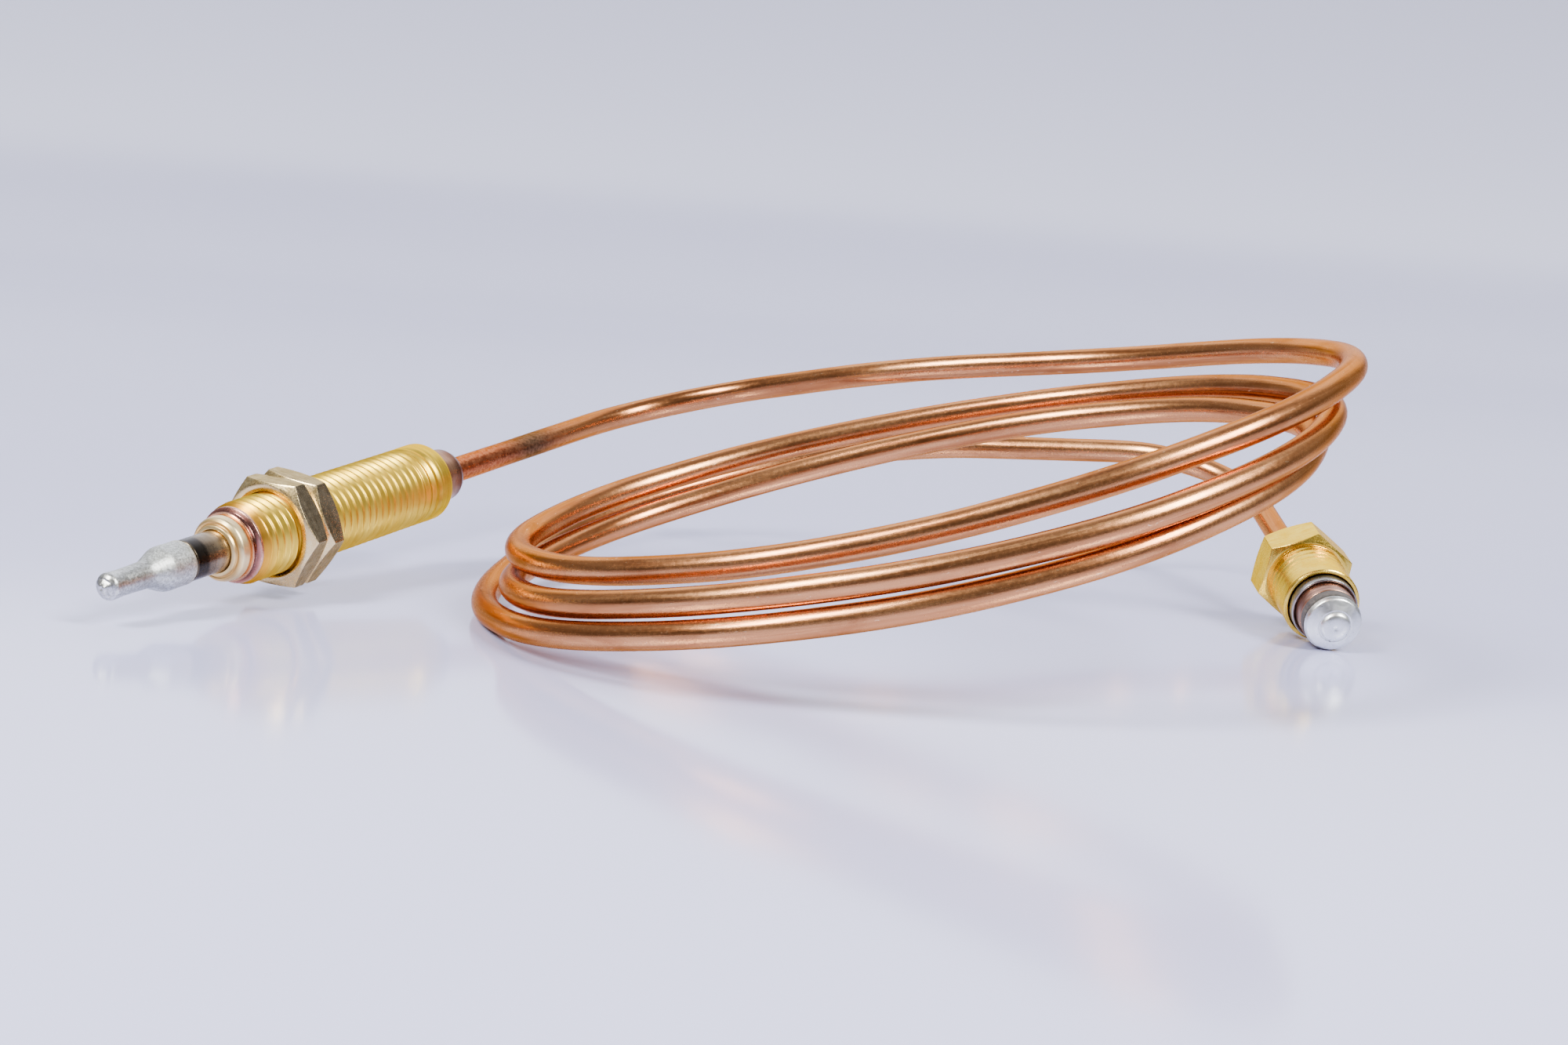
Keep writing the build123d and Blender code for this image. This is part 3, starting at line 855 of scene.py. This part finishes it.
fibre = Nodes("washer_fibre", metallic=0.0, roughness=0.6)
fibre_cloud = fibre.noise(fibre.coords((3, 3, 1.5)), 1.0, 5.0, 0.65)
fibre.colour(fibre.ramp(fibre_cloud, (0.3, (0.035, 0.03, 0.028)), (0.7, (0.13, 0.11, 0.095))))
fibre.roughness(fibre.ramp(fibre_cloud, (0.3, 0.45), (0.7, 0.75)))
fibre.bump((fibre_cloud, 0.4, 0.05))
add_piece("fibre_washer", lathe(densify(rounded([
    (0.95, 14.02), (2.98, 14.02), (3.0, 14.1, 0.04), (3.0, 14.8, 0.06), (2.9, 14.88), (0.95, 14.88)]), 0.25)),
    ON_NUT, ROOT, ["insulating_washer"], fibre.material)


def tin_material():
    n = Nodes("tin", roughness=0.2)
    swirl = n.noise(n.coords((0.7, 0.7, 0.7)), 1.0, 4.0, 0.6, 0.8)
    fine = n.noise(n.coords((6, 6, 6)), 1.0, 4.0, 0.6)
    pits = n.noise(n.coords((2.2, 2.2, 2.2)), 1.0, 2.0, 0.5)
    base = n.mix(n.ramp(swirl, (0.35, 0.0), (0.7, 1.0)), (0.80, 0.83, 0.79), (0.96, 0.98, 0.95))
    base = n.mix(n.ramp(pits, (0.70, 0.0), (0.78, 0.8)), base, (0.20, 0.20, 0.19))
    n.colour(base)
    n.roughness(n.ramp(swirl, (0.35, 0.26), (0.7, 0.42)))
    n.bump((swirl, 0.25, 0.08), (fine, 0.15, 0.02))
    return n.material


tin = tin_material()
add_piece("tinned_button", lathe(densify(rounded([
    (0.6, 14.92), (2.65, 14.92), (3.0, 15.42, 0.12), (2.8, 15.85, 0.35), (1.75, 16.38, 0.15),
    (1.66, 16.34, 0.05), (1.5, 16.42), (0.0, 16.42)]), 0.12),
    radius_of=lumpy(0.004)), ON_NUT, ROOT, ["contact_button"], tin)


def bead_shape(r, z, angle):
    return r * (1 + 0.012 * sin(2 * angle + 0.4))


def bead_profile():
    """Flat-topped dome with a small dimple in the middle."""
    points = [Vector((1.58, 16.42))]
    for t in np.linspace(1, 0, 16):
        dome = 0.54 * sqrt(max(0, 1 - t**2.6))
        dimple = 0.10 * exp(-(t / 0.16) ** 2)
        points.append(Vector((1.56 * t, 16.46 + dome - dimple)))
    return points


add_piece("solder_bump", lathe(bead_profile(), 64, bead_shape), ON_NUT, ROOT, ["solder_bead"], tin)


# ---------------------------------------------------------------- pieces inside, which keep their CAD shape
def inner(node, base, dark, metallic, rough, scale):
    n = Nodes(node + "_finish", metallic=metallic, roughness=rough)
    cloud = n.noise(n.coords(scale, "object"), 1.0, 4.0, 0.6)
    n.colour(n.ramp(cloud, (0.3, dark), (0.7, base)))
    n.roughness(n.ramp(cloud, (0.3, rough - 0.1), (0.7, rough + 0.1)))
    n.bump((cloud, 0.3, 0.03))
    mesh = frame["nodes"][node].data
    mesh.materials.clear()
    mesh.materials.append(n.material)


inner("electrode_insulator", (0.85, 0.83, 0.76), (0.62, 0.58, 0.50), 0.0, 0.6, (2, 2, 2))
inner("inner_electrode", (0.70, 0.64, 0.56), (0.42, 0.38, 0.33), 1.0, 0.35, (6, 6, 6))
inner("splice_barrel", (0.66, 0.64, 0.60), (0.40, 0.38, 0.36), 1.0, 0.35, (3, 3, 3))
inner("splice_insulator", (0.80, 0.76, 0.66), (0.55, 0.50, 0.40), 0.0, 0.7, (4, 4, 4))
inner("lead_insulation", (0.74, 0.70, 0.60), (0.50, 0.45, 0.36), 0.0, 0.7, (4, 4, 4))
inner("lead_core", (0.90, 0.46, 0.28), (0.60, 0.24, 0.12), 1.0, 0.3, (3, 3, 3))
inner("flare_collar", (0.86, 0.68, 0.32), (0.55, 0.38, 0.14), 1.0, 0.3, (2, 2, 2))
inner("insulating_bush", (0.34, 0.26, 0.20), (0.16, 0.12, 0.09), 0.0, 0.55, (2, 2, 2))


# ---------------------------------------------------------------- floor, light and camera
def floor_sweep():
    """Pale floor that runs up into a backdrop without an edge."""
    curve_from = 0.3
    radius = 1.5
    rings = []
    for x in np.linspace(-4, 4, 17):
        row = [(x, y, 0.0) for y in (-6, -2, -0.6, -0.2, 0.1, curve_from)]
        for t in np.linspace(0.03, 0.56, 30):
            row.append((x, curve_from + radius * sin(t), radius - radius * cos(t)))
        rings.append(row)
    bm = skin(rings, closed_round=False)
    bmesh.ops.recalc_face_normals(bm, faces=bm.faces)
    for face in bm.faces:
        face.smooth = True
    mesh = bpy.data.meshes.new("floor")
    bm.to_mesh(mesh)
    bm.free()
    sweep = bpy.data.objects.new("floor", mesh)
    bpy.context.scene.collection.objects.link(sweep)
    n = Nodes("floor_finish", metallic=0.0, roughness=0.22)
    cloud = n.noise(n.coords((0.004, 0.004, 0.004), "object"), 1.0, 2.0, 0.5)
    n.colour(n.ramp(cloud, (0.3, (0.55, 0.56, 0.84)), (0.7, (0.58, 0.59, 0.87))))
    n.roughness(n.ramp(cloud, (0.3, 0.10), (0.7, 0.13)))
    n.shader.inputs["IOR"].default_value = 1.7
    mesh.materials.append(n.material)


floor_sweep()


def softbox(name, place):
    """Rectangular lamp that faces the middle of the part."""
    data = bpy.data.lights.new(name, "AREA")
    data.shape = "RECTANGLE"
    data.size = 0.26
    data.size_y = 0.42
    data.energy = 16
    lamp = bpy.data.objects.new(name, data)
    bpy.context.scene.collection.objects.link(lamp)
    lamp.location = place
    lamp.rotation_euler = (Vector((0, 0, 0.02)) - Vector(place)).to_track_quat("-Z", "Y").to_euler()


softbox("left_softbox", (-0.50, -0.42, 0.74))
softbox("right_softbox", (0.60, -0.36, 0.70))


def studio_world():
    """A bright panel behind and above the part, dim elsewhere, as in a room with dark walls."""
    world = bpy.data.worlds.new("studio")
    bpy.context.scene.world = world
    world.use_nodes = True
    nodes = world.node_tree.nodes
    links = world.node_tree.links
    towards = nodes.new("ShaderNodeVectorMath")
    towards.operation = "DOT_PRODUCT"
    links.new(nodes.new("ShaderNodeTexCoord").outputs["Generated"], towards.inputs[0])
    panel_direction = (0.0, 0.86, 0.51)
    towards.inputs[1].default_value = panel_direction
    ramp = nodes.new("ShaderNodeValToRGB")
    elements = ramp.color_ramp.elements
    elements.new(0.5)
    elements.new(0.5)
    stops = (
        (0.0, (0.06, 0.058, 0.06)), (0.45, (0.12, 0.12, 0.13)), (0.78, (0.17, 0.17, 0.19)),
        (0.88, (0.90, 0.92, 1.05)),
    )
    for element, (position, colour) in zip(elements, stops):
        element.position = position
        element.color = (*colour, 1)
    links.new(towards.outputs["Value"], ramp.inputs["Fac"])
    background = nodes["Background"]
    links.new(ramp.outputs["Color"], background.inputs["Color"])
    background.inputs["Strength"].default_value = 2.4


studio_world()


def camera_at(place, pitch, roll, lens):
    """Camera that looks along +Y, tipped down by pitch and turned about its own axis by roll."""
    data = bpy.data.cameras.new("camera")
    data.sensor_width = 36
    data.lens = lens
    data.clip_start = 0.01
    data.dof.use_dof = False
    camera = bpy.data.objects.new("camera", data)
    bpy.context.scene.collection.objects.link(camera)
    bpy.context.scene.camera = camera
    ahead = Vector((0, cos(pitch), -sin(pitch)))
    level = Vector((1, 0, 0))
    above = level.cross(ahead)
    right = level * cos(roll) + above * sin(roll)
    up = above * cos(roll) - level * sin(roll)
    camera.matrix_world = Matrix.Translation(place) @ Matrix((right, up, -ahead)).transposed().to_4x4()


camera_at(Vector(COIL_PLACE + np.array((-12, -257, 50.7))) * MM, radians(8.73), radians(4.785), 62.68)

bpy.context.view_layer.update()
